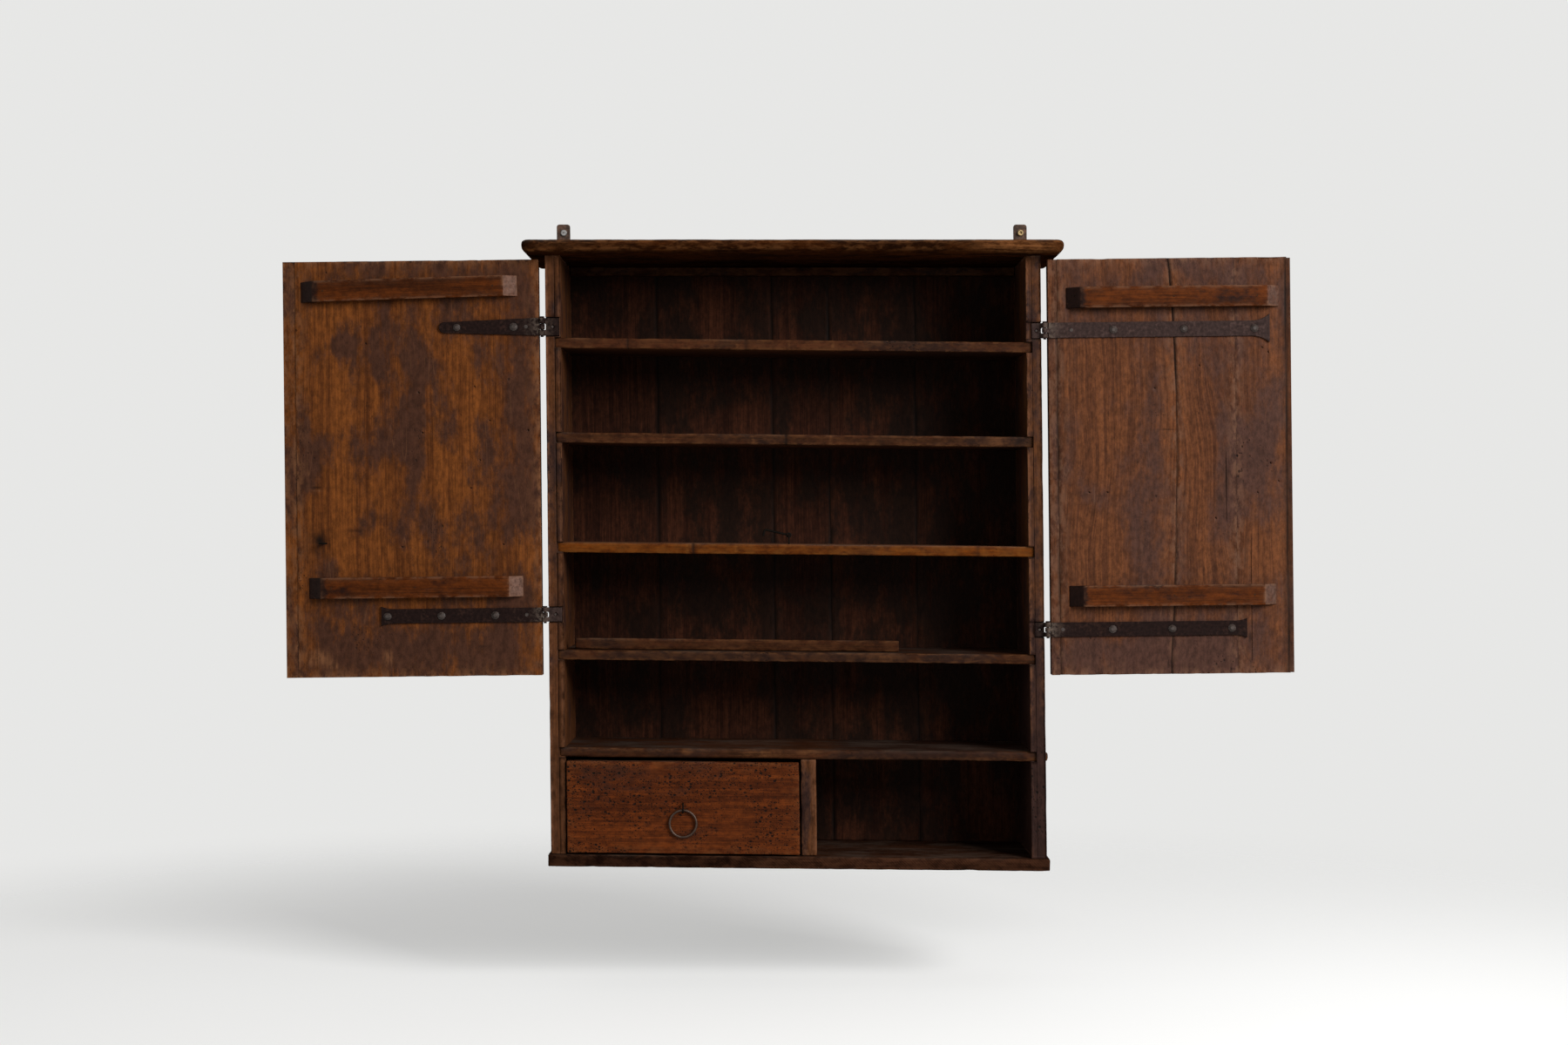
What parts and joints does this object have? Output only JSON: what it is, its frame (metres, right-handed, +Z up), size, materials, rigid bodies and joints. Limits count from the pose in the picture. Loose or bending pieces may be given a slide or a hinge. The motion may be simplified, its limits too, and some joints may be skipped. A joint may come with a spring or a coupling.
{
  "type": "wall cabinet",
  "caption": "Rustic plank wall cabinet with ledged doors on forged strap hinges, open shelves, a drawer with a ring pull and a cubby, hung by iron plates.",
  "frame": {"origin": "on the wall plane, midway between the two hanger holes", "axes": "+Z up, +Y into the wall, front of the cabinet towards -Y, +X to the viewer's right"},
  "size_m": [1.3409, 0.223, 0.8774],
  "materials": {
    "case_wood": "old waxed pine, worn edges",
    "shelf_wood": "old bare pine, handled edges",
    "back_wood": "dark smoked pine",
    "left_door_wood": "honey brown pine, waxed",
    "right_door_wood": "dull red brown pine",
    "drawer_wood": "red brown, worm-eaten",
    "drawer_box_wood": "bare pine",
    "hanger_iron": "rusty flat iron",
    "forged_iron": "dark forged iron"
  },
  "bodies": {
    "carcase": {"top_board": "case_wood", "left_side": "case_wood", "right_side": "case_wood", "bottom_board": "case_wood", "shelf_1": "shelf_wood", "shelf_2": "shelf_wood", "shelf_3": "shelf_wood", "shelf_4": "shelf_wood", "drawer_shelf": "shelf_wood", "shelf_lip": "shelf_wood", "drawer_divider": "case_wood", "back_board_1": "back_wood", "back_board_2": "back_wood", "back_board_3": "back_wood", "back_board_4": "back_wood", "back_board_5": "back_wood", "top_cleat": "case_wood", "left_hanger": "hanger_iron", "right_hanger": "hanger_iron", "hanger_nails": "forged_iron", "back_nails": "forged_iron", "case_nails": "forged_iron", "leaf_nails": "forged_iron", "left_hinge_leaf_upper": "forged_iron", "left_hinge_leaf_lower": "forged_iron", "right_hinge_leaf_upper": "forged_iron", "right_hinge_leaf_lower": "forged_iron", "left_hinge_pins": "forged_iron", "right_hinge_pins": "forged_iron", "catch_staple": "forged_iron"},
    "hook": {"catch_hook": "forged_iron"},
    "left_door": {"left_door_board": "left_door_wood", "left_door_strip": "left_door_wood", "left_batten_upper": "left_door_wood", "left_batten_lower": "left_door_wood", "left_strap_upper": "forged_iron", "left_strap_lower": "forged_iron", "left_strap_nails": "forged_iron", "left_batten_nails": "forged_iron", "catch_eye": "forged_iron"},
    "right_door": {"right_door_strip": "right_door_wood", "right_door_board_1": "right_door_wood", "right_door_board_2": "right_door_wood", "right_door_board_3": "right_door_wood", "right_batten_upper": "right_door_wood", "right_batten_lower": "right_door_wood", "right_strap_upper": "forged_iron", "right_strap_lower": "forged_iron", "right_strap_nails": "forged_iron", "right_batten_nails": "forged_iron"},
    "drawer": {"drawer_front": "drawer_wood", "drawer_left_side": "drawer_box_wood", "drawer_right_side": "drawer_box_wood", "drawer_back": "drawer_box_wood", "drawer_bottom": "drawer_box_wood", "drawer_nails": "forged_iron", "ring_staple": "forged_iron"},
    "ring": {"ring_pull": "forged_iron"}
  },
  "joints": [
    {"name": "left_door_swing", "type": "hinge", "parent": "carcase", "child": "left_door", "pos_m": [-0.3325, -0.1884, 0], "axis": [-0.0108, 0, 0.9999], "range_deg": [-15, 180]},
    {"name": "right_door_swing", "type": "hinge", "parent": "carcase", "child": "right_door", "pos_m": [0.3325, -0.1884, 0], "axis": [0.0108, 0, -0.9999], "range_deg": [-15, 180]},
    {"name": "drawer_slide", "type": "slide", "parent": "carcase", "child": "drawer", "axis": [0, -1, 0], "range_m": [0, 0.12]},
    {"name": "ring_swing", "type": "hinge", "parent": "drawer", "child": "ring", "pos_m": [-0.14405, -0.1962, -0.78397], "axis": [-1, 0, 0], "range_deg": [-2, 110]},
    {"name": "hook_lift", "type": "hinge", "parent": "carcase", "child": "hook", "pos_m": [-0.00432, -0.175, -0.42073], "axis": [0, 1, 0], "range_deg": [-13, 80]}
  ]
}
